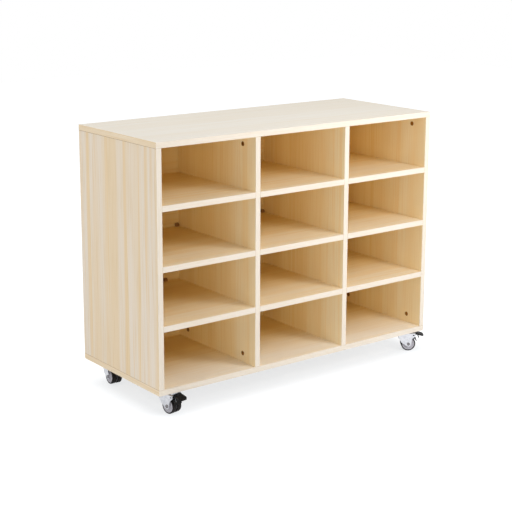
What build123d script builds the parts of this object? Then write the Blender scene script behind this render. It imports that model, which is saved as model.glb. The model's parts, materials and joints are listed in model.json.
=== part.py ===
from build123d import *
import math
import os

os.makedirs("parts", exist_ok=True)

# A wheeled storage unit: a board carcass with open compartments, standing on four swivel casters.
# All sizes are in millimetres. The origin is on the floor, in the middle of the overall footprint.
# +X runs along the width, +Y from the open front to the back, +Z up.

# Carcass boards
board = 18.0                   # thickness of every board
column_width = 342.0           # clear width of each column
column_count = 3
bottom_row = 179.0             # clear heights of the rows, from the bottom up
lower_row = 165.0
upper_row = 165.0
top_row = 171.0
carcass_depth = 445.0

# Strips glued along the board edges
strip = 1.0                    # thickness of an edge strip
strip_round = 0.5              # rounding along the outer edges of a strip

# Dowels and the gaps around glued fittings
dowel_radius = 4.0
dowel_length = 30.0
dowel_end_gap = 0.5            # room at each end of a dowel
fitting_gap = 0.05             # gap around a fitting in its hole
dowel_in_panel = 12.0          # depth of a carcass dowel in top, bottom or side
dowel_in_upright = 7.5         # depth of a shelf dowel in an upright
upright_dowel_inset = 112.0    # upright dowels, from the front and from the rear
shelf_dowel_front = 60.0       # shelf dowels, from the front
shelf_dowel_rear = 80.0        # shelf dowels, from the rear
back_dowel_side_inset = 150.0  # back panel dowels on its upright edges, from the ends
back_dowel_long_inset = 250.0  # back panel dowels on its long edges, from the ends

# Cam locks and their bolts
cam_radius = 7.5
cam_depth = 12.5
cam_setback = 29.0             # cam centre to the end of the upright
cam_front_inset = 67.0         # cam centre to the front of the carcass
cam_rear_inset = 69.0          # cam centre to the rear of the carcass
cam_slot_width = 1.8           # the cross in the face of the cam
cam_slot_length = 9.0
cam_slot_depth = 1.6
bolt_radius = 3.4
bolt_neck_radius = 2.2
bolt_head_radius = 3.3
bolt_head_length = 3.0
bolt_neck_length = 5.0
bolt_in_panel = 11.0
bolt_play = 0.3                # room for the bolt in the pocket of the cam

# Corner blocks between shelf and back panel
block_width = 12.0
block_depth = 9.0
block_height = 11.0
block_chamfer = 4.0
middle_block_inset = 9.0       # block centre to the upright, on the middle shelves
lower_block_inset = 58.0       # block centre to the upright, on the lower shelves

# Casters, measured from the kingpin axis
caster_height = 71.0           # floor to the underside of the bottom panel
caster_side_inset = 57.0       # kingpin to the side of the carcass
caster_front_inset = 48.0      # kingpin to the front of the carcass
caster_rear_inset = 65.0       # kingpin to the rear of the carcass
caster_trail = 22.0            # kingpin axis to axle
front_left_turn = -80.0        # direction in which each caster trails, from +X
front_right_turn = -36.0
rear_left_turn = -93.0
rear_right_turn = -60.0

# Swivel plate, its screws, the kingpin and the ball race
plate_size = 60.0
plate_thickness = 2.5
plate_corner = 6.0
screw_spacing = 44.0
screw_radius = 2.2
screw_length = 15.0
screw_head_radius = 4.5
screw_head_height = 2.6
screw_slot_width = 1.2
screw_slot_depth = 1.2
race_gap = 3.2                 # height between plate and fork crown
race_radius = 14.5
ball_radius = 2.4
ball_count = 8
ball_gap = 0.3                 # room between the balls and the fork
kingpin_radius = 4.0
kingpin_top_radius = 6.0
kingpin_top_height = 1.2
kingpin_head_radius = 7.5
kingpin_head_height = 2.7
swivel_gap = 0.3               # room between the fork and what it turns against
running_gap = 0.06             # radial play of a turning fit

# Fork
fork_sheet = 2.0
fork_bend = 5.0                # outer radius of the bend from crown to leg
crown_radius = 24.0            # rounded front of the crown
boss_radius = 9.0              # rounded end of a leg, around the axle
leg_front_high = -9.0          # leading edge of a leg, high and low
leg_front_high_drop = 30.0
leg_front_low = -2.0
leg_front_low_drop = 41.0
ear_reach = 6.0                # trailing edge of a leg with an ear, from the pivot of the pedal
ear_drop = 18.0
ear_leg_reach = -5.5
ear_leg_drop = 28.0
plain_reach = 26.0             # trailing edge of a leg with no pedal
plain_drop = 12.0
plain_leg_reach = 21.0
plain_leg_drop = 28.0
crown_reach = 24.0             # end of the crown sheet between the legs
crown_window = 17.0            # half width of the gap for the pedal

# Wheels
wheel_radius = 25.0
wheel_width = 15.5
wheel_gap = 4.0                # gap between the two tyres of a caster
wheel_side_gap = 1.5           # tyre to fork leg
hub_radius = 21.0
tyre_round = 2.5
hub_rim = 3.0                  # thickness of the hub's rim
hub_rim_inset = 0.8            # rim edge to tyre side
hub_dish = 1.6                 # depth of the dished face
hub_web = 3.0                  # thickness of the dished face
hub_boss_radius = 7.5
hub_boss_gap = 0.3             # boss end to its neighbours
axle_radius = 3.0
axle_head_radius = 5.5
axle_head_height = 2.0

# Brake pedal and its spring, measured from the pivot
pivot_reach = 61.0             # kingpin axis to pivot, less the room over the tyre
pivot_drop = 14.5
pivot_radius = 2.5
pedal_hub_radius = 4.5
pedal_side_gap = 0.5           # pedal hub to fork leg
pedal_root = -5.0              # inner end of the pedal
pedal_bend = 12.0              # where the pedal starts to slope
pedal_reach = 36.0             # outer end of the pedal
pedal_half_width = 17.0
pedal_corner = 10.0
pedal_top_drop = 9.0
pedal_tip_drop = 15.0
pedal_thickness = 4.5
rib_reach = 13.0               # rib under the pedal
rib_lean = 5.0
rib_thickness = 3.0
rib_drop = 26.0
rib_half_width = 12.0
shoe_half_width = 14.0
shoe_front_reach = -5.0
shoe_back_high = 4.5
shoe_back_low = 12.0
shoe_drop = 37.0
press_angle = 9.0              # travel of the pedal
shoe_gap = 0.4                 # shoe to tyre at the end of the travel
shoe_rest_gap = 1.5            # shoe to tyre when released
spring_sheet = 1.6
spring_reach = 5.5             # upper end of the spring
spring_lean = 6.5
spring_drop = 27.0
spring_half_width = 11.0
spring_window = 7.0            # half width of the gap between its two legs
spring_bridge = 3.0            # height of the bar that joins the legs

# Sizes that follow from the ones above
row_heights = (bottom_row, lower_row, upper_row, top_row)
carcass_width = column_count * column_width + (column_count + 1) * board
carcass_height = sum(row_heights) + (len(row_heights) + 1) * board
leg_inside = wheel_gap / 2 + wheel_width + wheel_side_gap
leg_outside = leg_inside + fork_sheet
# The pivot stands further back where the tyre comes closer to the panel
pivot_x = pivot_reach - (caster_height - 2 * wheel_radius)
pedal_end = pivot_x + pedal_reach


def pedal_corner_at(turn, side):
    """Position of a pedal's end corner from its kingpin, for a turned caster."""
    angle = math.radians(turn)
    along = pedal_end * math.cos(angle) - side * pedal_half_width * math.sin(angle)
    across = pedal_end * math.sin(angle) + side * pedal_half_width * math.cos(angle)
    return along, across


# The front pedals stand out past the carcass, so the carcass sits off the middle of the footprint
front_overhang = -caster_front_inset - pedal_corner_at(front_left_turn, -1)[1]
right_overhang = pedal_corner_at(front_right_turn, 1)[0] - caster_side_inset
left = -(carcass_width + right_overhang) / 2
right = left + carcass_width
rear = (carcass_depth + front_overhang) / 2
front = rear - carcass_depth
base = caster_height
top = base + carcass_height
back_face = rear - board
upright_x = [left + i * (column_width + board) for i in range(column_count + 1)]
shelf_z = [base + board * (i + 1) + sum(row_heights[:i + 1]) for i in range(len(row_heights) - 1)]


def block(low, high):
    """Box between two opposite corners."""
    size = [b - a for a, b in zip(low, high)]
    middle = [(a + b) / 2 for a, b in zip(low, high)]
    return Pos(*middle) * Box(*size)


def rod(start, direction, length, radius):
    """Cylinder from a point, along a direction."""
    return Solid.make_cylinder(radius, length, Plane(origin=start, z_dir=direction))


def moved(point, direction, distance):
    """Point shifted along a direction."""
    return tuple(p + d * distance for p, d in zip(point, direction))


def group(solids):
    """Separate solids kept together as one node."""
    return Compound(children=[s.solid() if isinstance(s, Part) else s for s in solids])


def meets(first, second):
    """True where two bounding boxes overlap."""
    low = (first.min.X < second.max.X, first.min.Y < second.max.Y, first.min.Z < second.max.Z)
    high = (second.min.X < first.max.X, second.min.Y < first.max.Y, second.min.Z < first.max.Z)
    return all(low) and all(high)


def drilled(body, tools):
    """Board with every hole that reaches into it."""
    extent = body.bounding_box()
    cutters = [tool for tool in tools if meets(extent, tool.bounding_box())]
    return body - cutters if cutters else body


parts = {}
holes = []

# Dowels: each is given by a point on the joint, a direction into the second board, and its depth
# in the first board
dowels = []


def add_dowel(point, direction, depth):
    """Dowel across a joint, and the hole for it in both boards."""
    start = moved(point, direction, -depth)
    dowels.append(rod(start, direction, dowel_length, dowel_radius))
    hole_start = moved(start, direction, -dowel_end_gap)
    hole_length = dowel_length + 2 * dowel_end_gap
    holes.append(rod(hole_start, direction, hole_length, dowel_radius + fitting_gap))


for x in upright_x:
    for y in (front + upright_dowel_inset, rear - upright_dowel_inset):
        add_dowel((x + board / 2, y, base + board), (0, 0, 1), dowel_in_panel)
        add_dowel((x + board / 2, y, top - board), (0, 0, -1), dowel_in_panel)

for column in range(column_count):
    shelf_left = upright_x[column] + board
    shelf_right = upright_x[column + 1]
    for z in shelf_z:
        for y in (front + shelf_dowel_front, rear - shelf_dowel_rear):
            add_dowel((shelf_left, y, z + board / 2), (1, 0, 0), dowel_in_upright)
            add_dowel((shelf_right, y, z + board / 2), (-1, 0, 0), dowel_in_upright)

for z in (base + back_dowel_side_inset, top - back_dowel_side_inset):
    add_dowel((left + board, rear - board / 2, z), (1, 0, 0), dowel_in_panel)
    add_dowel((right - board, rear - board / 2, z), (-1, 0, 0), dowel_in_panel)

for x in (left + back_dowel_long_inset, right - back_dowel_long_inset):
    add_dowel((x, rear - board / 2, base + board), (0, 0, 1), dowel_in_panel)
    add_dowel((x, rear - board / 2, top - board), (0, 0, -1), dowel_in_panel)

parts["dowels"] = group(dowels)

# Cam locks: in the faces of the uprights, with a bolt coming in from top or bottom
cams = []
bolts = []


def add_cam(face_x, inward, y, joint_z, away):
    """Cam lock in the face of an upright, its bolt and their holes."""
    bolt_x = face_x + inward * board / 2
    cam_z = joint_z + away * cam_setback
    face = (face_x, y, cam_z)
    drum = Part() + rod(face, (inward, 0, 0), cam_depth, cam_radius - fitting_gap)
    slot = Box(2 * cam_slot_depth, cam_slot_length, cam_slot_width)
    drum -= Pos(*face) * slot
    drum -= Pos(*face) * Rot(90, 0, 0) * slot
    pocket_radius = bolt_head_radius + bolt_play
    drum -= rod((bolt_x, y, cam_z), (0, 0, -away), cam_radius, pocket_radius)
    cams.append(drum)
    holes.append(rod(face, (inward, 0, 0), cam_depth + dowel_end_gap, cam_radius))

    foot = (bolt_x, y, joint_z - away * bolt_in_panel)
    shank_length = bolt_in_panel + cam_setback - cam_radius - bolt_play
    neck = moved(foot, (0, 0, away), shank_length)
    head = moved(neck, (0, 0, away), bolt_neck_length - bolt_head_length)
    bolt = Part() + rod(foot, (0, 0, away), shank_length, bolt_radius)
    bolt += rod(neck, (0, 0, away), bolt_neck_length, bolt_neck_radius)
    bolt += rod(head, (0, 0, away), bolt_head_length, bolt_head_radius)
    bolts.append(bolt)
    hole_length = bolt_in_panel + cam_setback + dowel_end_gap
    hole_foot = moved(foot, (0, 0, away), -dowel_end_gap)
    holes.append(rod(hole_foot, (0, 0, away), hole_length, bolt_radius + fitting_gap))


for index, x in enumerate(upright_x):
    opens_right = index in (0, column_count - 1)
    face_x = x + board if opens_right else x
    inward = -1 if opens_right else 1
    for y in (front + cam_front_inset, rear - cam_rear_inset):
        add_cam(face_x, inward, y, base + board, 1)
        add_cam(face_x, inward, y, top - board, -1)

parts["cam_locks"] = group(cams)
parts["cam_bolts"] = group(bolts)

# Corner blocks: a small wedge in the corner between a shelf and the back panel
blocks = []
for column in range(column_count):
    for z, inset in ((shelf_z[1], middle_block_inset), (shelf_z[0], lower_block_inset)):
        shelf_left = upright_x[column] + board
        for x in (shelf_left + inset, shelf_left + column_width - inset):
            low = (x - block_width / 2, back_face - block_depth, z + board)
            high = (x + block_width / 2, back_face, z + board + block_height)
            wedge = block(low, high)
            upper_front = wedge.edges().filter_by(Axis.X).group_by(Axis.Y)[0].sort_by(Axis.Z)[-1]
            blocks.append(chamfer(upper_front, block_chamfer))
parts["corner_blocks"] = group(blocks)

# Casters: where each kingpin stands and which way the caster trails
casters = {
    "front_left": (left + caster_side_inset, front + caster_front_inset, front_left_turn, True),
    "front_right": (right - caster_side_inset, front + caster_front_inset, front_right_turn, True),
    "rear_left": (left + caster_side_inset, rear - caster_rear_inset, rear_left_turn, False),
    "rear_right": (right - caster_side_inset, rear - caster_rear_inset, rear_right_turn, False),
}

# Heights below the bottom panel, at the kingpin
crown_top = -(plate_thickness + race_gap)
crown_bottom = crown_top - fork_sheet
ball_z = -plate_thickness - race_gap / 2
axle_z = wheel_radius - caster_height
pivot_z = -pivot_drop
corners = [(x, y) for x in (-1, 1) for y in (-1, 1)]


def tangent_point(point, centre, radius):
    """Where the lower tangent from a point touches a circle to its right."""
    across = centre[0] - point[0]
    down = centre[1] - point[1]
    reach = math.hypot(across, down)
    angle = math.atan2(down, across) - math.asin(radius / reach)
    length = math.sqrt(reach ** 2 - radius ** 2)
    return point[0] + length * math.cos(angle), point[1] + length * math.sin(angle)


def swivel_plate():
    """Square plate with screw holes, a seat for the kingpin and a groove for the balls."""
    sheet = extrude(RectangleRounded(plate_size, plate_size, plate_corner), -plate_thickness)
    for x, y in corners:
        hole = (x * screw_spacing / 2, y * screw_spacing / 2, 0)
        sheet -= rod(hole, (0, 0, -1), plate_thickness, screw_radius + fitting_gap)
    sheet -= rod((0, 0, 0), (0, 0, -1), plate_thickness, kingpin_radius + fitting_gap)
    seat_depth = kingpin_top_height + fitting_gap
    sheet -= rod((0, 0, 0), (0, 0, -1), seat_depth, kingpin_top_radius + fitting_gap)
    sheet -= Pos(0, 0, ball_z) * Torus(race_radius, ball_radius + fitting_gap)
    return sheet


def kingpin():
    """Rivet that holds the fork to the plate."""
    head_top = crown_bottom - swivel_gap
    pin = Part() + rod((0, 0, 0), (0, 0, -1), kingpin_top_height, kingpin_top_radius)
    pin += rod((0, 0, 0), (0, 0, -1), -head_top + kingpin_head_height, kingpin_radius)
    pin += rod((0, 0, head_top), (0, 0, -1), kingpin_head_height, kingpin_head_radius)
    return pin


def plate_screw():
    """Pan-head screw, with its head under the plate."""
    head_top = (0, 0, -plate_thickness)
    screw = Part() + rod(head_top, (0, 0, 1), screw_length, screw_radius)
    head = Part() + rod(head_top, (0, 0, -1), screw_head_height, screw_head_radius)
    rim = head.edges().group_by(Axis.Z)[0]
    screw += fillet(rim, screw_head_height / 2)
    slot_z = -plate_thickness - screw_head_height
    slot = Box(screw_head_radius, screw_slot_width, 2 * screw_slot_depth)
    screw -= Pos(0, 0, slot_z) * slot
    screw -= Pos(0, 0, slot_z) * Rot(0, 0, 90) * slot
    return screw


def fork(braked):
    """Pressed steel fork: a crown and two legs bent down from one sheet."""
    tall = 2 * caster_height
    outer = RectangleRounded(2 * leg_outside, tall, fork_bend)
    inner = RectangleRounded(2 * leg_inside, tall, fork_bend - fork_sheet)
    section = Pos(0, crown_top - tall / 2) * outer
    section -= Pos(0, crown_bottom - tall / 2) * inner
    channel = extrude(Plane.YZ * section, 2 * pedal_end, both=True)

    reach = pivot_x + ear_reach if braked else plain_reach
    reach_z = -(ear_drop if braked else plain_drop)
    leg_x = pivot_x + ear_leg_reach if braked else plain_leg_reach
    leg_z = -(ear_leg_drop if braked else plain_leg_drop)
    touch = tangent_point((leg_front_low, -leg_front_low_drop), (caster_trail, axle_z), boss_radius)
    outline = [
        (-crown_radius, crown_top),
        (-crown_radius, crown_bottom),
        (leg_front_high, -leg_front_high_drop),
        (leg_front_low, -leg_front_low_drop),
        touch,
        (caster_trail + boss_radius, axle_z),
        (leg_x, leg_z),
        (reach, reach_z),
        (reach, crown_top),
    ]
    profile = make_face(Polyline(*outline, close=True))
    profile += Pos(caster_trail, axle_z) * Circle(boss_radius)
    side = extrude(Plane.XZ * profile, 2 * leg_outside, both=True)

    plan = Circle(crown_radius) + Pos(reach / 2, 0) * Rectangle(reach, 2 * leg_outside)
    body = channel & side & extrude(plan, -caster_height)
    window_low = (crown_reach, -crown_window, crown_bottom - fork_bend)
    window_high = (2 * reach, crown_window, crown_top + fork_bend)
    body -= block(window_low, window_high)
    body -= rod((0, 0, 0), (0, 0, -1), caster_height, kingpin_radius + running_gap)
    body -= Pos(0, 0, ball_z) * Torus(race_radius, ball_radius + ball_gap)
    axle_start = (caster_trail, -2 * leg_outside, axle_z)
    body -= rod(axle_start, (0, 1, 0), 4 * leg_outside, axle_radius + fitting_gap)
    if braked:
        pivot_start = (pivot_x, -2 * leg_outside, pivot_z)
        body -= rod(pivot_start, (0, 1, 0), 4 * leg_outside, pivot_radius + running_gap)
    return body


def axle():
    """Riveted axle through both legs."""
    head_y = leg_outside + fitting_gap
    end_y = head_y + axle_head_height
    pin = Part() + rod((caster_trail, -end_y, axle_z), (0, 1, 0), 2 * end_y, axle_radius)
    for side in (-1, 1):
        head = Part() + rod(
            (caster_trail, side * head_y, axle_z), (0, side, 0), axle_head_height, axle_head_radius
        )
        rim = head.edges().sort_by(Axis.Y)[-1 if side > 0 else 0]
        pin += fillet(rim, axle_head_height / 2)
    return pin


def wheel_turned(points):
    """Ring turned about the axle from (radius, distance from the middle) points."""
    face = make_face(Polyline(*points, close=True))
    turned = revolve(Plane.XY * face, Axis.Y)
    return Pos(caster_trail, 0, axle_z) * turned


def hub(side):
    """Plastic hub with a dished face, a rim and a boss on the axle."""
    bore = axle_radius + running_gap
    inner_y = wheel_gap / 2
    outer_y = inner_y + wheel_width
    rim_low = inner_y + hub_rim_inset
    rim_high = outer_y - hub_rim_inset
    web_high = rim_high - hub_dish
    web_low = web_high - hub_web
    boss_high = leg_inside - hub_boss_gap
    points = [
        (bore, hub_boss_gap),
        (hub_boss_radius, hub_boss_gap),
        (hub_boss_radius, web_low),
        (hub_radius - hub_rim, web_low),
        (hub_radius - hub_rim, rim_low),
        (hub_radius, rim_low),
        (hub_radius, rim_high),
        (hub_radius - hub_rim, rim_high),
        (hub_radius - hub_rim - hub_dish, web_high),
        (hub_boss_radius + hub_dish, web_high),
        (hub_boss_radius, boss_high),
        (bore, boss_high),
    ]
    return wheel_turned([(r, side * y) for r, y in points])


def tyre(side):
    """Soft tyre around the hub, with rounded shoulders."""
    inner_y = wheel_gap / 2
    outer_y = inner_y + wheel_width
    inner_radius = hub_radius + fitting_gap
    section = [(inner_radius, inner_y), (wheel_radius, inner_y)]
    section += [(wheel_radius, outer_y), (inner_radius, outer_y)]
    face = make_face(Polyline(*[(r, side * y) for r, y in section], close=True))
    face = fillet(face.vertices().group_by(Axis.X)[-1], tyre_round)
    return Pos(caster_trail, 0, axle_z) * revolve(Plane.XY * face, Axis.Y)


def side_prism(outline, half_width):
    """Solid of a side outline, equally wide to both sides."""
    return extrude(Plane.XZ * make_face(Polyline(*outline, close=True)), half_width, both=True)


def pedal():
    """Brake pedal: a lever on stub pivots, with a shoe hanging over the tyres."""
    hub_half = leg_inside - pedal_side_gap
    pivot = (0, 0, pivot_z)
    stub_start = (0, -leg_outside, pivot_z)
    hub_start = (0, -hub_half, pivot_z)
    lever_outline = [
        (pedal_root, -pedal_top_drop),
        (pedal_bend, -pedal_top_drop),
        (pedal_reach, -pedal_tip_drop),
        (pedal_reach, -pedal_tip_drop - pedal_thickness),
        (pedal_bend, -pedal_top_drop - pedal_thickness),
        (pedal_root, -pedal_top_drop - pedal_thickness),
    ]
    shoe_outline = [
        (shoe_front_reach, pivot_z),
        (shoe_front_reach, -shoe_drop),
        (shoe_back_low, -shoe_drop),
        (shoe_back_high, pivot_z),
    ]
    rib_top = -pedal_top_drop - pedal_thickness / 2
    rib_outline = [
        (rib_reach, rib_top),
        (rib_reach + rib_lean, -rib_drop),
        (rib_reach + rib_lean + rib_thickness, -rib_drop),
        (rib_reach + rib_thickness, rib_top),
    ]
    plan = RectangleRounded(2 * pedal_reach, 2 * pedal_half_width, pedal_corner)
    body = side_prism(lever_outline, pedal_half_width) & extrude(plan, -caster_height)
    body += side_prism(shoe_outline, shoe_half_width)
    body += side_prism(rib_outline, rib_half_width)
    body += rod(hub_start, (0, 1, 0), 2 * hub_half, pedal_hub_radius)
    body += rod(stub_start, (0, 1, 0), 2 * leg_outside, pivot_radius)
    # The shoe is hollowed to the tyres, both released and at the end of its travel
    axle_start = (caster_trail - pivot_x, -leg_inside, axle_z)
    released = rod(axle_start, (0, 1, 0), 2 * leg_inside, wheel_radius + shoe_rest_gap)
    pressed = rod(axle_start, (0, 1, 0), 2 * leg_inside, wheel_radius + shoe_gap)
    body -= released
    body -= pressed.rotate(Axis(pivot, (0, 1, 0)), -press_angle)
    return Pos(pivot_x, 0, 0) * body


def spring():
    """Bent steel leaf with two legs, behind the shoe."""
    rise = -pedal_top_drop - pedal_thickness - fitting_gap
    outline = [
        (spring_reach, rise),
        (spring_reach + spring_lean, -spring_drop),
        (spring_reach + spring_lean + spring_sheet, -spring_drop),
        (spring_reach + spring_sheet, rise),
    ]
    leaf = side_prism(outline, spring_half_width)
    window_low = (0, -spring_window, -spring_drop + spring_bridge)
    leaf -= block(window_low, (pedal_reach, spring_window, 0))
    return Pos(pivot_x, 0, 0) * leaf


def placed(shape, x, y, turn):
    """Shape from a caster's own frame, standing at its kingpin."""
    return Pos(x, y, caster_height) * Rot(0, 0, turn) * shape


screws = []
kingpins = []
balls = []
for name, (x, y, turn, braked) in casters.items():
    parts[name + "_swivel_plate"] = placed(swivel_plate(), x, y, 0)
    kingpins.append(placed(kingpin(), x, y, 0))
    for i in range(ball_count):
        ball = Pos(race_radius, 0, ball_z) * Sphere(ball_radius)
        balls.append(placed(ball, x, y, 360.0 * i / ball_count))
    for across, along in corners:
        shift = Pos(across * screw_spacing / 2, along * screw_spacing / 2, 0)
        screw = placed(shift * plate_screw(), x, y, 0)
        screws.append(screw)
        tip = placed(shift, x, y, 0).position
        hole_length = screw_length - plate_thickness + dowel_end_gap
        holes.append(rod(tuple(tip), (0, 0, 1), hole_length, screw_radius + fitting_gap))
    parts[name + "_fork"] = placed(fork(braked), x, y, turn)
    parts[name + "_axle"] = placed(axle(), x, y, turn)
    for side, place in ((-1, "outer"), (1, "inner")):
        parts[name + "_" + place + "_hub"] = placed(hub(side), x, y, turn)
        parts[name + "_" + place + "_tyre"] = placed(tyre(side), x, y, turn)
    if braked:
        parts[name + "_brake_pedal"] = placed(pedal(), x, y, turn)
        parts[name + "_brake_spring"] = placed(spring(), x, y, turn)

parts["plate_screws"] = group(screws)
parts["kingpins"] = group(kingpins)
parts["swivel_balls"] = group(balls)

# Boards: top and bottom run through, the uprights stand between them, the shelves between those
for name, z in (("bottom_panel", base), ("top_panel", top - board)):
    low = (left + strip, front + strip, z)
    high = (right - strip, rear - strip, z + board)
    parts[name] = drilled(block(low, high), holes)

upright_names = ("left_side_panel", "left_divider", "right_divider", "right_side_panel")
for index, name in enumerate(upright_names):
    outer = index in (0, column_count)
    low = (upright_x[index], front + strip, base + board)
    high = (upright_x[index] + board, rear - strip if outer else back_face, top - board)
    parts[name] = drilled(block(low, high), holes)

for column, column_name in enumerate(("left", "centre", "right")):
    for z, height_name in zip(shelf_z, ("lower", "middle", "upper")):
        low = (upright_x[column] + board, front + strip, z)
        high = (upright_x[column + 1], back_face, z + board)
        parts[column_name + "_" + height_name + "_shelf"] = drilled(block(low, high), holes)

back_low = (left + board, back_face, base + board)
back_high = (right - board, rear, top - board)
parts["back_panel"] = drilled(block(back_low, back_high), holes)


def edge_strip(low, high, along, outward, last):
    """Strip with its outer long edges rounded."""
    body = block(low, high)
    edges = body.edges().filter_by(along).group_by(outward)[-1 if last else 0]
    return fillet(edges, strip_round)


long_strips = []
end_strips = []
for z in (base, top - board):
    for y, last in ((front, False), (rear - strip, True)):
        corner = (right, y + strip, z + board)
        long_strips.append(edge_strip((left, y, z), corner, Axis.X, Axis.Y, last))
    for x, last in ((left, False), (right - strip, True)):
        corner = (x + strip, rear - strip, z + board)
        end_strips.append(edge_strip((x, front + strip, z), corner, Axis.Y, Axis.X, last))
parts["long_edge_strips"] = group(long_strips)
parts["end_edge_strips"] = group(end_strips)

upright_strips = []
for index, x in enumerate(upright_x):
    corner = (x + board, front + strip, top - board)
    upright_strips.append(edge_strip((x, front, base + board), corner, Axis.Z, Axis.Y, False))
    if index in (0, column_count):
        corner = (x + board, rear, top - board)
        low = (x, rear - strip, base + board)
        upright_strips.append(edge_strip(low, corner, Axis.Z, Axis.Y, True))
parts["upright_edge_strips"] = group(upright_strips)

shelf_strips = []
for x in upright_x[:column_count]:
    for z in shelf_z:
        corner = (x + board + column_width, front + strip, z + board)
        shelf_strips.append(edge_strip((x + board, front, z), corner, Axis.X, Axis.Y, False))
parts["shelf_edge_strips"] = group(shelf_strips)

for name, shape in parts.items():
    export_step(shape, "parts/" + name + ".step")
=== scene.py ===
"""Wheeled storage unit with open compartments: finishes, fine pieces, studio light and camera.

Everything is in metres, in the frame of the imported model: +X along the width, +Y from the open
front to the back, +Z up, with the origin on the floor in the middle of the footprint.
"""
import json
import logging
import math
from dataclasses import dataclass, field
from enum import Enum

import bmesh
import bpy
from mathutils import Matrix, Vector


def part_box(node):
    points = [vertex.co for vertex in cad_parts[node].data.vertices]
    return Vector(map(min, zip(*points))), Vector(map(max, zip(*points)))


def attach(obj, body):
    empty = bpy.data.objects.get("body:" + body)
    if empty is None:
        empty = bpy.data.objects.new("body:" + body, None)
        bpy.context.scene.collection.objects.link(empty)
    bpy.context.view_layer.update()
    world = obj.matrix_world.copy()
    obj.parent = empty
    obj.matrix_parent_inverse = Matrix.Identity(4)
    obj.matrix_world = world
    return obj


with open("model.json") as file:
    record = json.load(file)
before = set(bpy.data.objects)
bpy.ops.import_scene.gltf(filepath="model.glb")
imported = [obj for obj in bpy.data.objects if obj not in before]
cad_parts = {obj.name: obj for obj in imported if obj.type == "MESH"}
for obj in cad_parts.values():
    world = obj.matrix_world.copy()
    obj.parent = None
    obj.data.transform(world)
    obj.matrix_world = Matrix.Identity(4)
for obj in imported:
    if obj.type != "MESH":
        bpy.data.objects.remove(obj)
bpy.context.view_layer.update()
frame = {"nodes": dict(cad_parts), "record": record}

MM = 0.001

log = logging.getLogger("storage_unit")


def linear(code: str) -> tuple[float, float, float, float]:
    """Turn an sRGB hex colour into a linear colour.

    Args:
        code: Colour such as "#c0ffee".

    Returns:
        Linear red, green and blue, with an alpha of 1.
    """
    channels = [int(code[i:i + 2], 16) / 255 for i in (1, 3, 5)]
    red, green, blue = [
        c / 12.92 if c <= 0.04045 else ((c + 0.055) / 1.055) ** 2.4 for c in channels
    ]
    return red, green, blue, 1.0


def add_node(
    tree: bpy.types.NodeTree,
    kind: str,
    settings: dict[str, object] | None = None,
    inputs: dict[str | int, object] | None = None,
) -> bpy.types.Node:
    """Add a node with its settings and its links.

    Args:
        tree: Node tree that gets the node.
        kind: Type name of the node.
        settings: Property names and their values.
        inputs: Input names or numbers, each with a value or an output to link from.

    Returns:
        The new node.
    """
    node = tree.nodes.new(kind)
    for name, value in (settings or {}).items():
        setattr(node, name, value)
    for name, value in (inputs or {}).items():
        if isinstance(value, bpy.types.NodeSocket):
            tree.links.new(value, node.inputs[name])
        else:
            node.inputs[name].default_value = value
    return node


class Grain(Enum):
    """Axis along which the grain of a board, strip or surface runs."""

    ALONG_X = 0
    ALONG_Y = 1
    ALONG_Z = 2


# Part of a noise in which nearly all of its values lie.
WHOLE_NOISE = (0.3, 0.7)
# Settings of a Map Range node that eases in and out.
EASED = {"interpolation_type": "SMOOTHSTEP"}
# Settings of a Mix node that mixes colours: its inputs are 0, 6 and 7 and its output is 2.
COLOURS = {"data_type": "RGBA"}


@dataclass(frozen=True)
class Marks:
    """A noise that draws marks along the grain of a surface.

    The size of one mark is in metres. The shift is counted in marks, so that two patterns on one
    surface don't follow each other. The values of the noise between the two limits in `used` become
    shares of the marks' colour, from none up to `share`.
    """

    width: float
    length: float
    detail: float = 2.0
    roughness: float = 0.5
    distortion: float = 0.0
    shift: tuple[float, float, float] = (0.0, 0.0, 0.0)
    used: tuple[float, float] = WHOLE_NOISE
    share: float = 1.0


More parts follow.
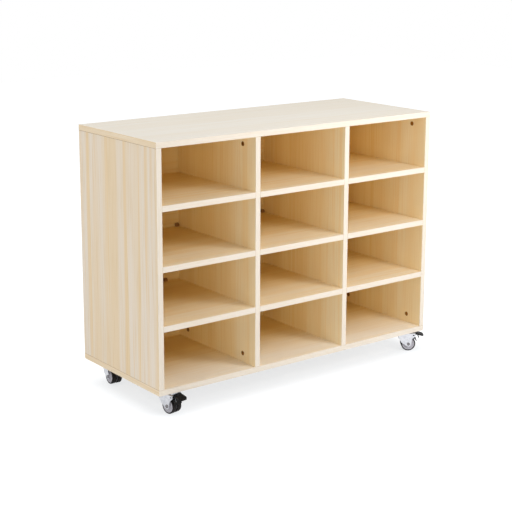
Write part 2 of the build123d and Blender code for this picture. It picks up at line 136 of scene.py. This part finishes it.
@dataclass(frozen=True)
class Finish:
    """A surface finish that makes one material."""

    name: str

    def material(self) -> bpy.types.Material:
        """Make the material of this finish.

        Returns:
            A node material with a painted shader.
        """
        material = bpy.data.materials.new(self.name)
        material.use_nodes = True
        tree = material.node_tree
        tree.nodes.clear()
        shader = add_node(tree, "ShaderNodeBsdfPrincipled")
        add_node(tree, "ShaderNodeOutputMaterial", inputs={"Surface": shader.outputs["BSDF"]})
        self.paint(tree, shader)
        return material

    def paint(self, tree: bpy.types.NodeTree, shader: bpy.types.Node) -> None:
        """Set up the shader of this finish.

        Args:
            tree: Node tree of the material.
            shader: Shader node to set up.
        """
        raise NotImplementedError

    def draw(self, tree: bpy.types.NodeTree, grain: Grain, marks: Marks) -> bpy.types.NodeSocket:
        """Draw marks along the grain.

        Args:
            tree: Node tree of the material.
            grain: Axis of the grain.
            marks: Marks to draw.

        Returns:
            The noise of the marks, from 0 to 1.
        """
        scale = [1 / marks.width] * 3
        scale[grain.value] = 1 / marks.length
        position = add_node(tree, "ShaderNodeTexCoord")
        mapping = add_node(
            tree,
            "ShaderNodeMapping",
            inputs={"Vector": position.outputs["Object"], "Scale": scale, "Location": marks.shift},
        )
        noise = add_node(
            tree,
            "ShaderNodeTexNoise",
            inputs={
                "Vector": mapping.outputs["Vector"],
                "Scale": 1.0,
                "Detail": marks.detail,
                "Roughness": marks.roughness,
                "Distortion": marks.distortion,
            },
        )
        return noise.outputs["Fac"]

    def polish(
        self,
        tree: bpy.types.NodeTree,
        shader: bpy.types.Node,
        noise: bpy.types.NodeSocket,
        roughness: tuple[float, float],
        used: tuple[float, float] = WHOLE_NOISE,
    ) -> None:
        """Let the shine of the surface follow its marks.

        Args:
            tree: Node tree of the material.
            shader: Shader that gets the shine.
            noise: Noise of the marks.
            roughness: Lowest and highest roughness.
            used: Values of the noise between which the roughness changes.
        """
        inputs = {"Value": noise, "From Min": used[0], "From Max": used[1]}
        inputs |= {"To Min": roughness[0], "To Max": roughness[1]}
        shine = add_node(tree, "ShaderNodeMapRange", EASED, inputs)
        tree.links.new(shine.outputs["Result"], shader.inputs["Roughness"])

    def colour_in(
        self,
        tree: bpy.types.NodeTree,
        shader: bpy.types.Node,
        noise: bpy.types.NodeSocket,
        marks: Marks,
        colours: tuple[str, str],
    ) -> None:
        """Colour the surface and its marks.

        Args:
            tree: Node tree of the material.
            shader: Shader that gets the colour.
            noise: Noise of the marks.
            marks: Marks that the noise draws.
            colours: Hex colours of the ground and of the marks.
        """
        inputs = {"Value": noise, "From Min": marks.used[0], "From Max": marks.used[1]}
        share = add_node(tree, "ShaderNodeMapRange", EASED, inputs | {"To Max": marks.share})
        ground, mark = (linear(colour) for colour in colours)
        mixed = add_node(
            tree, "ShaderNodeMix", COLOURS, {0: share.outputs["Result"], 6: ground, 7: mark}
        )
        tree.links.new(mixed.outputs[2], shader.inputs["Base Color"])


@dataclass(frozen=True)
class MapleTone:
    """Colours of a maple print: its pale ground, its bands and its fine veins."""

    ground: str
    band: str
    vein: str


# Outer face of the top board, painted paler and greyer than the others as a painted sheen; outer
# faces of the other boards; then the inner faces as lit and shaded copies of the same print:
# uprights, shelves and the bottom board, written brighter and more golden than the outer faces (the
# brightness painted light, the gold painted shade of the light bounced inside), the shelves and the
# bottom board brighter step by step as painted light where more light falls on them, and every
# board towards the back in a deep golden painted shade.
TOP_SHEEN_TONE = MapleTone("#ede6d9", "#ebe1cf", "#e8dbc5")
SIDE_TONE = MapleTone("#e8dbca", "#e7cda2", "#dcbf8c")
FRONT_TONE = MapleTone("#f8e6c0", "#f6dcaa", "#efcf94")
SHELF_TONE = MapleTone("#fbebce", "#f9e2b8", "#f2d5a2")
BASE_TONE = MapleTone("#fdf3e2", "#fbecd2", "#f5e1c1")
PAINTED_SHADE_TONE = MapleTone("#f6d690", "#f2cd82", "#eac172")


@dataclass(frozen=True)
class OuterSide:
    """Side of a board that faces outwards, past a plane across one axis, and its tone."""

    axis: int
    plane: float
    above: bool
    tone: MapleTone


@dataclass(frozen=True)
class MapleBoard(Finish):
    """Melamine facing printed with maple, pressed on board.

    The print gives broad soft bands, narrow stripes and fine veins along the grain. The colour is
    golden towards the back and paler towards the open front and on the outer faces, as painted
    shade of the dimmer, warmer light deep inside the unit.
    even satin shine that follows the veins a little, with shallow flecks.
    """

    grain: Grain
    outer: OuterSide | None = None
    tone: MapleTone = FRONT_TONE
    # Depths along Y over which the colour turns from the board's tone to the deep golden painted
    # shade.
    painted_shade_span: tuple[float, float] = (-170 * MM, 120 * MM)
    bands: Marks = Marks(90 * MM, 2600 * MM, 1.0, 0.4, 0.3, used=(0.46, 0.62), share=0.7)
    stripes: Marks = Marks(24 * MM, 1500 * MM, 2.0, 0.5, 0.2, (5.3, 1.7, 8.1), (0.52, 0.66), 0.9)
    veins: Marks = Marks(4 * MM, 260 * MM, 3.0, 0.55, 0.2, (3.1, 7.7, 1.9), (0.48, 0.72), 0.6)
    flecks: Marks = Marks(1.6 * MM, 22 * MM, 1.0, shift=(0.7, 2.3, 5.9))
    fleck_strength: float = 0.12
    fleck_depth: float = 0.1 * MM
    roughness: tuple[float, float] = (0.40, 0.50)
    ior: float = 1.5

    def paint(self, tree: bpy.types.NodeTree, shader: bpy.types.Node) -> None:
        """Paint bands, stripes, veins and flecks, with another tone on the outer side.

        Args:
            tree: Node tree of the material.
            shader: Shader node to set up.
        """
        patterns = (self.bands, self.stripes, self.veins)
        noises = [self.draw(tree, self.grain, marks) for marks in patterns]
        shares = []
        for noise, marks in zip(noises, patterns):
            inputs = {"Value": noise, "From Min": marks.used[0], "From Max": marks.used[1]}
            share = add_node(tree, "ShaderNodeMapRange", EASED, inputs | {"To Max": marks.share})
            shares.append(share.outputs["Result"])
        wide, slim, veins = shares
        larger = add_node(tree, "ShaderNodeMath", {"operation": "MAXIMUM"}, {0: wide, 1: slim})
        bands = larger.outputs["Value"]
        position = add_node(tree, "ShaderNodeTexCoord")
        place = add_node(
            tree, "ShaderNodeSeparateXYZ", inputs={"Vector": position.outputs["Object"]}
        )
        # Towards the back the colour turns to the deep tone, a painted shade.
        front, back = self.painted_shade_span
        depth = add_node(
            tree,
            "ShaderNodeMapRange",
            EASED,
            {"Value": place.outputs["Y"], "From Min": front, "From Max": back},
        )
        near = self.toned(tree, self.tone, bands, veins)
        deep = self.toned(tree, PAINTED_SHADE_TONE, bands, veins)
        colour = add_node(
            tree, "ShaderNodeMix", COLOURS, {0: depth.outputs["Result"], 6: near, 7: deep}
        )
        if self.outer:
            past = add_node(
                tree,
                "ShaderNodeMath",
                {"operation": "GREATER_THAN" if self.outer.above else "LESS_THAN"},
                {0: place.outputs[self.outer.axis], 1: self.outer.plane},
            )
            pale = self.toned(tree, self.outer.tone, bands, veins)
            colour = add_node(
                tree,
                "ShaderNodeMix",
                COLOURS,
                {0: past.outputs["Value"], 6: colour.outputs[2], 7: pale},
            )
        tree.links.new(colour.outputs[2], shader.inputs["Base Color"])
        shader.inputs["IOR"].default_value = self.ior
        self.polish(tree, shader, noises[-1], self.roughness)
        fleck = self.draw(tree, self.grain, self.flecks)
        relief = add_node(
            tree,
            "ShaderNodeBump",
            inputs={"Height": fleck, "Strength": self.fleck_strength, "Distance": self.fleck_depth},
        )
        tree.links.new(relief.outputs["Normal"], shader.inputs["Normal"])

    def toned(
        self,
        tree: bpy.types.NodeTree,
        tone: MapleTone,
        bands: bpy.types.NodeSocket,
        veins: bpy.types.NodeSocket,
    ) -> bpy.types.NodeSocket:
        """Colour the print in one tone.

        Args:
            tree: Node tree of the material.
            tone: Colours to use.
            bands: Share of the band colour.
            veins: Share of the vein colour.

        Returns:
            The coloured print.
        """
        banded = add_node(
            tree, "ShaderNodeMix", COLOURS, {0: bands, 6: linear(tone.ground), 7: linear(tone.band)}
        )
        veined = add_node(
            tree, "ShaderNodeMix", COLOURS, {0: veins, 6: banded.outputs[2], 7: linear(tone.vein)}
        )
        return veined.outputs[2]


@dataclass(frozen=True)
class EdgeStrip(Finish):
    """Extruded ABS edge strip with a faint printed grain, glued on and rounded with a scraper.

    The extrusion gives a smooth surface with a soft shine and hardly any pattern.
    """

    grain: Grain
    ground: str
    streak: str
    streaks: Marks = Marks(2.5 * MM, 160 * MM, 3.0, used=(0.35, 0.70))
    roughness: tuple[float, float] = (0.38, 0.46)

    def paint(self, tree: bpy.types.NodeTree, shader: bpy.types.Node) -> None:
        """Paint the faint streaks of the strip.

        Args:
            tree: Node tree of the material.
            shader: Shader node to set up.
        """
        fine = self.draw(tree, self.grain, self.streaks)
        self.colour_in(tree, shader, fine, self.streaks, (self.ground, self.streak))
        self.polish(tree, shader, fine, self.roughness)


@dataclass(frozen=True)
class Metal(Finish):
    """Bare or plated metal with cloudy tone and fine working marks.

    Plating and handling give slow changes of tone, and rolling or turning gives fine marks that
    spread the reflections. The marks are drawn coarser than real ones, so that they show close up.
    """

    bright: str
    dull: str
    roughness: tuple[float, float]
    shine_used: tuple[float, float] = (0.25, 0.75)
    clouds: Marks = Marks(9 * MM, 9 * MM, 3.0, 0.6)
    scratches: Marks = Marks(0.6 * MM, 7.2 * MM, shift=(2.0, 5.0, 3.0))
    scratch_strength: float = 0.15
    scratch_depth: float = 0.05 * MM

    def paint(self, tree: bpy.types.NodeTree, shader: bpy.types.Node) -> None:
        """Paint the clouds and the fine marks.

        Args:
            tree: Node tree of the material.
            shader: Shader node to set up.
        """
        clouds = self.draw(tree, Grain.ALONG_Z, self.clouds)
        self.colour_in(tree, shader, clouds, self.clouds, (self.bright, self.dull))
        shader.inputs["Metallic"].default_value = 1.0
        self.polish(tree, shader, clouds, self.roughness, self.shine_used)
        scratches = self.draw(tree, Grain.ALONG_Z, self.scratches)
        relief = add_node(
            tree,
            "ShaderNodeBump",
            inputs={
                "Height": scratches,
                "Strength": self.scratch_strength,
                "Distance": self.scratch_depth,
            },
        )
        tree.links.new(relief.outputs["Normal"], shader.inputs["Normal"])


@dataclass(frozen=True)
class Moulded(Finish):
    """Moulded plastic or rubber with a fine grain from the mould.

    The mould's grain breaks up the shine, and handling leaves slightly paler, duller patches. The
    grit is drawn coarser than a mould's own, so that it shows close up.
    """

    ground: str
    worn: str
    roughness: tuple[float, float]
    gloss: float = 0.5
    patches: Marks = Marks(14 * MM, 14 * MM, 4.0, 0.65, used=(0.45, 0.80))
    grit: Marks = Marks(0.7 * MM, 0.7 * MM, 1.0, shift=(1.0, 4.0, 2.0))
    grit_strength: float = 0.2
    grit_depth: float = 0.08 * MM

    def paint(self, tree: bpy.types.NodeTree, shader: bpy.types.Node) -> None:
        """Paint the worn patches and the grain of the mould.

        Args:
            tree: Node tree of the material.
            shader: Shader node to set up.
        """
        patches = self.draw(tree, Grain.ALONG_Z, self.patches)
        self.colour_in(tree, shader, patches, self.patches, (self.ground, self.worn))
        self.polish(tree, shader, patches, self.roughness)
        shader.inputs["Specular IOR Level"].default_value = self.gloss
        grit = self.draw(tree, Grain.ALONG_Z, self.grit)
        relief = add_node(
            tree,
            "ShaderNodeBump",
            inputs={"Height": grit, "Strength": self.grit_strength, "Distance": self.grit_depth},
        )
        tree.links.new(relief.outputs["Normal"], shader.inputs["Normal"])


def add_bar(
    shape: bmesh.types.BMesh, middle: Vector, size: Vector, turn: Matrix | None = None
) -> None:
    """Add a bar to a shape.

    Args:
        shape: Shape that gets the bar.
        middle: Middle of the bar.
        size: Lengths of the bar along its own axes.
        turn: Rotation of the bar, or none.
    """
    turned = turn or Matrix.Identity(4)
    place = Matrix.Translation(middle) @ turned @ Matrix.Diagonal(size.to_4d())
    bmesh.ops.create_cube(shape, size=1.0, matrix=place)


def add_piece(
    name: str, shape: bmesh.types.BMesh, material: bpy.types.Material, body: str
) -> None:
    """Make a piece from a shape and let it ride on a body.

    Args:
        name: Name of the piece.
        shape: Finished shape, which is freed.
        material: Finish of the piece.
        body: Body that carries it.
    """
    mesh = bpy.data.meshes.new(name)
    shape.to_mesh(mesh)
    shape.free()
    mesh.materials.append(material)
    piece = bpy.data.objects.new(name, mesh)
    bpy.context.scene.collection.objects.link(piece)
    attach(piece, body)
    log.info("added %s", name)


def dress(node: str, material: bpy.types.Material) -> None:
    """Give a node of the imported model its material.

    Args:
        node: Name of the node.
        material: Finish of the node.
    """
    slots = frame["nodes"][node].data.materials
    slots.clear()
    slots.append(material)
    log.info("dressed %s in %s", node, material.name)


@dataclass
class Carcass:
    """Boards, edge strips and fittings of the unit's body."""

    columns: tuple[str, ...] = ("left", "centre", "right")
    levels: tuple[str, ...] = ("lower", "middle", "upper")
    uprights: tuple[str, ...] = (
        "left_side_panel", "left_divider", "right_divider", "right_side_panel"
    )
    gap_wide: float = 1.0 * MM
    gap_narrow: float = 0.4 * MM
    gap_proud: float = 0.08 * MM
    gap_sunk: float = 0.3 * MM

    def build(self) -> None:
        """Dress the boards, strips and fittings, and add the lines of the joints."""
        self.dress_boards()
        self.dress_strips()
        self.dress_fittings()
        self.add_joint_lines()

    def add_joint_lines(self) -> None:
        """Add the darker lines where one board or strip meets the next, painted shade of the narrow
        gaps there.
        """
        shape = bmesh.new()
        low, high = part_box("back_panel")
        strips_low, strips_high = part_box("long_edge_strips")
        thick = self.gap_proud + self.gap_sunk
        lean = (self.gap_sunk - self.gap_proud) / 2
        depth = strips_high.y - strips_low.y
        for node, side in ((self.uprights[0], 1), (self.uprights[-1], -1)):
            panel_low, panel_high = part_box(node)
            face = panel_low.x if side > 0 else panel_high.x
            for z in (low.z + self.gap_wide / 2, high.z - self.gap_wide / 2):
                middle = Vector((face + side * lean, (strips_low.y + strips_high.y) / 2, z))
                add_bar(shape, middle, Vector((thick, depth, self.gap_wide)))
        front = strips_low.y + lean
        for node in self.uprights:
            panel_low, panel_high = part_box(node)
            for z in (low.z, high.z):
                middle = Vector(((panel_low.x + panel_high.x) / 2, front, z))
                width = panel_high.x - panel_low.x
                add_bar(shape, middle, Vector((width, thick, self.gap_narrow)))
        for column in self.columns:
            for level in self.levels:
                shelf_low, shelf_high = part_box(f"{column}_{level}_shelf")
                for x in (shelf_low.x, shelf_high.x):
                    middle = Vector((x, front, (shelf_low.z + shelf_high.z) / 2))
                    height = shelf_high.z - shelf_low.z
                    add_bar(shape, middle, Vector((self.gap_narrow, thick, height)))
        # A thin dull line, browner than the boards, painted shade in the narrow gap where two
        # boards or strips meet.
        finish = Moulded("painted_joint_shade", "#b0936c", "#bb9f7a", (0.45, 0.6)).material()
        add_piece("joint_lines", shape, finish, "carcass")

    def dress_boards(self) -> None:
        """Give every board its maple facing, in other tones on the outer sides, with painted light
        and shade in the inner tones.
        """
        upright = MapleBoard("maple_melamine_upright", Grain.ALONG_Z).material()
        level = MapleBoard("maple_melamine_level", Grain.ALONG_X, tone=SHELF_TONE).material()
        for node in ("left_divider", "right_divider"):
            dress(node, upright)
        shelves = [f"{column}_{height}_shelf" for column in self.columns for height in self.levels]
        for node in shelves:
            dress(node, level)
        for node, axis, above, grain, tone, inner in (
            ("left_side_panel", 0, False, Grain.ALONG_Z, SIDE_TONE, FRONT_TONE),
            ("right_side_panel", 0, True, Grain.ALONG_Z, SIDE_TONE, FRONT_TONE),
            ("back_panel", 1, True, Grain.ALONG_X, SIDE_TONE, SHELF_TONE),
            ("bottom_panel", 2, False, Grain.ALONG_X, SIDE_TONE, BASE_TONE),
            ("top_panel", 2, True, Grain.ALONG_X, TOP_SHEEN_TONE, SHELF_TONE),
        ):
            low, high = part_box(node)
            outer = OuterSide(axis, (low[axis] + high[axis]) / 2, above, tone)
            dress(node, MapleBoard(f"maple_melamine_{node}", grain, outer, inner).material())

    def dress_strips(self) -> None:
        """Give the edge strips their cream or tan finish."""
        cream = ("#e5dccf", "#e1d4c1")
        tan = ("#ecd9bb", "#e6cda6")
        for node, grain, colours in (
            ("long_edge_strips", Grain.ALONG_X, cream),
            ("shelf_edge_strips", Grain.ALONG_X, cream),
            ("upright_edge_strips", Grain.ALONG_Z, cream),
            ("end_edge_strips", Grain.ALONG_Y, tan),
        ):
            dress(node, EdgeStrip(f"abs_{node}", grain, *colours).material())

    def dress_fittings(self) -> None:
        """Give the cams, bolts, dowels and corner blocks their finishes."""
        # Bronzed castings are brown with a metal shine, turned steel is a bright grey, dowels are
        # pale wood, and the moulded blocks are a dull brown.
        bronzed = Metal("die_cast_zinc_bronzed", "#b58a4f", "#8a6230", (0.35, 0.5))
        steel = Metal("turned_steel_bolt", "#c9c6bf", "#a9a59c", (0.25, 0.4))
        beech = MapleBoard("turned_beech_dowel", Grain.ALONG_X)
        brown = Moulded("moulded_abs_brown", "#9c7038", "#a67a42", (0.4, 0.55))
        dress("cam_locks", bronzed.material())
        dress("cam_bolts", steel.material())
        dress("dowels", beech.material())
        dress("corner_blocks", brown.material())


@dataclass
class Casters:
    """The four swivel casters and their fastenings."""

    places: tuple[str, ...] = ("front_left", "front_right", "rear_left", "rear_right")
    braked: tuple[str, ...] = ("front_left", "front_right")
    grip_reach: tuple[float, ...] = (16 * MM, 20 * MM, 24 * MM, 28 * MM, 32 * MM)
    grip_half_width: float = 11.5 * MM
    grip_thick: float = 1.6 * MM
    grip_proud: float = 0.7 * MM
    grip_sunk: float = 0.6 * MM
    grip_round: float = 0.45 * MM
    pad_bend: float = 12 * MM
    pad_rise: float = 5.5 * MM
    pad_slope: float = 0.25

    def build(self) -> None:
        """Dress the plates, forks, wheels and brakes, and add the grips of the pedals."""
        # Plated sheet is pale and cloudy, turned steel shinier, the pins darker and the springs
        # the brightest. Hubs are a satin grey, tyres and pedals black with little gloss.
        plated = Metal("zinc_plated_sheet", "#d3d4d8", "#c2c3c8", (0.32, 0.48)).material()
        turned = Metal("turned_bright_steel", "#c4c4c6", "#9a9a9d", (0.22, 0.36)).material()
        pin = Metal("riveted_steel_pin", "#8a8788", "#68656a", (0.35, 0.5)).material()
        strip = Metal("spring_steel_strip", "#e4e6ea", "#cfd1d6", (0.18, 0.28)).material()
        hub = Moulded("moulded_nylon_grey", "#b4b2ba", "#a5a3ab", (0.42, 0.55)).material()
        tyre = Moulded("moulded_rubber_black", "#181414", "#231e1d", (0.55, 0.7), 0.15).material()
        lever = Moulded("moulded_nylon_black", "#0c0909", "#151111", (0.35, 0.5), 0.15).material()
        for node in ("plate_screws", "kingpins", "swivel_balls"):
            dress(node, turned)
        for place in self.places:
            dress(f"{place}_swivel_plate", plated)
            dress(f"{place}_fork", plated)
            dress(f"{place}_axle", pin)
            for side in ("outer", "inner"):
                dress(f"{place}_{side}_hub", hub)
                dress(f"{place}_{side}_tyre", tyre)
        for place in self.braked:
            dress(f"{place}_brake_pedal", lever)
            dress(f"{place}_brake_spring", strip)
            self.add_grip(place, lever)

    def add_grip(self, place: str, material: bpy.types.Material) -> None:
        """Add the grip ridges on the sloping pad of a pedal.

        Args:
            place: Place of the caster.
            material: Finish of the pedal.
        """
        joints = frame["record"]["behaviour"]["joints"]
        joint = next(one for one in joints if one["name"] == f"{place}_brake")
        across = Vector(joint["axis"])
        back = across.cross(Vector((0, 0, 1)))
        upright = Matrix((back, across, Vector((0, 0, 1)))).transposed().to_4x4()
        slope = upright @ Matrix.Rotation(math.atan(self.pad_slope), 4, "Y")
        height = self.grip_proud + self.grip_sunk
        size = Vector((self.grip_thick, 2 * self.grip_half_width, height))
        shape = bmesh.new()
        for reach in self.grip_reach:
            rise = self.pad_rise - (reach - self.pad_bend) * self.pad_slope
            middle = Vector(joint["pos_m"]) + back * reach
            middle.z += rise + (self.grip_proud - self.grip_sunk) / 2
            add_bar(shape, middle, size, slope)
        bmesh.ops.bevel(
            shape,
            geom=shape.edges[:],
            offset=self.grip_round,
            offset_type="OFFSET",
            segments=2,
            profile=0.5,
            affect="EDGES",
            material=-1,
            clamp_overlap=True,
        )
        add_piece(f"{place}_pedal_grip", shape, material, f"{place}_pedal")


@dataclass
class Lamp:
    """A soft square lamp that shines at the middle of the unit.

    One that isn't mirrored lights the unit without showing in its shine.
    """

    name: str
    position: tuple[float, float, float]
    size: float
    power: float
    mirrored: bool = True
    aim: tuple[float, float, float] = (0.0, 0.0, 0.4)
    colour: str = "#ffffff"

    def build(self) -> None:
        """Add the lamp to the scene."""
        data = bpy.data.lights.new(self.name, "AREA")
        data.shape = "SQUARE"
        data.size = self.size
        data.energy = self.power
        data.color = linear(self.colour)[:3]
        lamp = bpy.data.objects.new(self.name, data)
        bpy.context.scene.collection.objects.link(lamp)
        lamp.location = self.position
        lamp.visible_glossy = self.mirrored
        direction = Vector(self.aim) - Vector(self.position)
        lamp.rotation_euler = direction.to_track_quat("-Z", "Y").to_euler()
        log.info("lamp %s", self.name)


@dataclass
class Studio:
    """White sweep, soft lamps and an even white surround."""

    floor_size: float = 16.0
    surround: float = 0.40
    surround_colour: str = "#ffffff"
    floor_colour: str = "#e6e6e6"
    shadow_depth: float = 0.25
    # The floor's glow is dimmed under and round the unit's footprint as a painted shadow, rising to
    # white beyond it; its slightly cool colour keeps that painted shadow neutral grey.
    lift_colour: str = "#fbfdff"
    painted_shadow_lift: float = 0.745
    lift_far: float = 1.0
    painted_shadow_reach: float = 0.14
    painted_shadow_half_size: tuple[float, float, float] = (0.51, 0.16, 0.0)
    lamps: list[Lamp] = field(
        default_factory=lambda: [
            Lamp("low_left_softbox", (-5.13, -6.11, 0.96), 2.2, 138.9),
            Lamp("left_softbox", (-4.91, -0.17, 3.84), 2.2, 56.8),
            Lamp("right_softbox", (5.79, -0.3, 1.95), 2.2, 99.5),
            Lamp("rear_softbox", (-1.43, 3.55, 3.61), 2.2, 73.9),
            Lamp("front_softbox", (0.72, -1.5, 1.1), 0.5, 12.9, False),
            Lamp("high_softbox", (0.1, -1.25, 1.55), 0.6, 4.0, False),
        ]
    )

    def build(self) -> None:
        """Add the floor, the lamps and the surround."""
        self.build_floor()
        for lamp in self.lamps:
            lamp.build()
        self.build_surround()

    def seen(self, tree: bpy.types.NodeTree) -> bpy.types.NodeSocket:
        """Tell rays that look at the background from rays that light the object.

        Args:
            tree: Node tree of the floor or the world.

        Returns:
            1 for rays from the camera, from gloss and through glass, and otherwise 0.
        """
        path = add_node(tree, "ShaderNodeLightPath")
        first = add_node(
            tree,
            "ShaderNodeMath",
            {"operation": "MAXIMUM"},
            {0: path.outputs["Is Camera Ray"], 1: path.outputs["Is Glossy Ray"]},
        )
        second = add_node(
            tree,
            "ShaderNodeMath",
            {"operation": "MAXIMUM"},
            {0: first.outputs["Value"], 1: path.outputs["Is Transmission Ray"]},
        )
        return second.outputs["Value"]

    def build_floor(self) -> None:
        """Add the pale floor, which keeps the shadow and is white where it is lit, with a painted
        shadow where its glow is dimmer near the unit's footprint.
        """
        mesh = bpy.data.meshes.new("floor")
        shape = bmesh.new()
        bmesh.ops.create_grid(shape, x_segments=1, y_segments=1, size=self.floor_size / 2)
        shape.to_mesh(mesh)
        shape.free()
        floor = bpy.data.objects.new("floor", mesh)
        bpy.context.scene.collection.objects.link(floor)
        material = bpy.data.materials.new("painted_studio_floor")
        material.use_nodes = True
        tree = material.node_tree
        tree.nodes.clear()
        paint = add_node(tree, "ShaderNodeBsdfDiffuse", inputs={"Color": linear(self.floor_colour)})
        grey = (self.shadow_depth, self.shadow_depth, self.shadow_depth, 1.0)
        shade = add_node(tree, "ShaderNodeBsdfDiffuse", inputs={"Color": grey})
        # Distance beyond the footprint, over which the painted shadow in the glow fades out.
        position = add_node(tree, "ShaderNodeTexCoord")
        mirrored = add_node(
            tree, "ShaderNodeVectorMath", {"operation": "ABSOLUTE"}, {0: position.outputs["Object"]}
        )
        beyond = add_node(
            tree,
            "ShaderNodeVectorMath",
            {"operation": "SUBTRACT"},
            {0: mirrored.outputs["Vector"], 1: self.painted_shadow_half_size},
        )
        outside = add_node(
            tree,
            "ShaderNodeVectorMath",
            {"operation": "MAXIMUM"},
            {0: beyond.outputs["Vector"], 1: (0.0, 0.0, 0.0)},
        )
        reach = add_node(
            tree, "ShaderNodeVectorMath", {"operation": "LENGTH"}, {0: outside.outputs["Vector"]}
        )
        lift = add_node(
            tree,
            "ShaderNodeMapRange",
            EASED,
            {
                "Value": reach.outputs["Value"],
                "From Max": self.painted_shadow_reach,
                "To Min": self.painted_shadow_lift,
                "To Max": self.lift_far,
            },
        )
        glow = add_node(
            tree,
            "ShaderNodeEmission",
            inputs={"Color": linear(self.lift_colour), "Strength": lift.outputs["Result"]},
        )
        shown = add_node(
            tree,
            "ShaderNodeAddShader",
            inputs={0: shade.outputs["BSDF"], 1: glow.outputs["Emission"]},
        )
        mixed = add_node(
            tree,
            "ShaderNodeMixShader",
            inputs={0: self.seen(tree), 1: paint.outputs["BSDF"], 2: shown.outputs["Shader"]},
        )
        add_node(tree, "ShaderNodeOutputMaterial", inputs={"Surface": mixed.outputs["Shader"]})
        mesh.materials.append(material)
        log.info("floor")

    def build_surround(self) -> None:
        """Add an even white surround, shown white and lighting at a plain level."""
        world = bpy.data.worlds.new("studio_surround")
        bpy.context.scene.world = world
        world.use_nodes = True
        tree = world.node_tree
        tree.nodes.clear()
        white = linear(self.surround_colour)
        light = add_node(
            tree, "ShaderNodeBackground", inputs={"Color": white, "Strength": self.surround}
        )
        shown = add_node(tree, "ShaderNodeBackground", inputs={"Color": white, "Strength": 1.0})
        mixed = add_node(
            tree,
            "ShaderNodeMixShader",
            inputs={
                0: self.seen(tree),
                1: light.outputs["Background"],
                2: shown.outputs["Background"],
            },
        )
        add_node(tree, "ShaderNodeOutputWorld", inputs={"Surface": mixed.outputs["Shader"]})
        log.info("surround")


@dataclass
class StudioCamera:
    """Camera of the reference view, aimed at a point on the open front."""

    azimuth: float = -37.32
    elevation: float = 12.50
    roll: float = 0.16
    distance: float = 3.923
    aim_from_left: float = 0.361
    aim_above_carcass_base: float = 0.510
    lens: float = 89.74
    shift_y: float = -0.08

    def build(self) -> None:
        """Add the camera and make it the scene's own."""
        base_low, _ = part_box("bottom_panel")
        strip_low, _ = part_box("long_edge_strips")
        aim = Vector((
            strip_low.x + self.aim_from_left, strip_low.y, base_low.z + self.aim_above_carcass_base
        ))
        turn, rise = math.radians(self.azimuth), math.radians(self.elevation)
        back = Vector((
            math.sin(turn) * math.cos(rise), -math.cos(turn) * math.cos(rise), math.sin(rise)
        ))
        data = bpy.data.cameras.new("camera")
        data.lens = self.lens
        data.shift_y = self.shift_y
        camera = bpy.data.objects.new("camera", data)
        bpy.context.scene.collection.objects.link(camera)
        upright = back.to_track_quat("Z", "Y").to_matrix().to_4x4()
        tilt = Matrix.Rotation(math.radians(self.roll), 4, "Z")
        camera.matrix_world = Matrix.Translation(aim + back * self.distance) @ upright @ tilt
        bpy.context.scene.camera = camera
        log.info("camera")


def main() -> None:
    """Build the unit, the studio and the camera."""
    logging.basicConfig(level=logging.INFO, format="%(message)s")
    bpy.context.scene.view_settings.view_transform = "Standard"
    Carcass().build()
    Casters().build()
    Studio().build()
    StudioCamera().build()


if __name__ == "__main__":
    main()
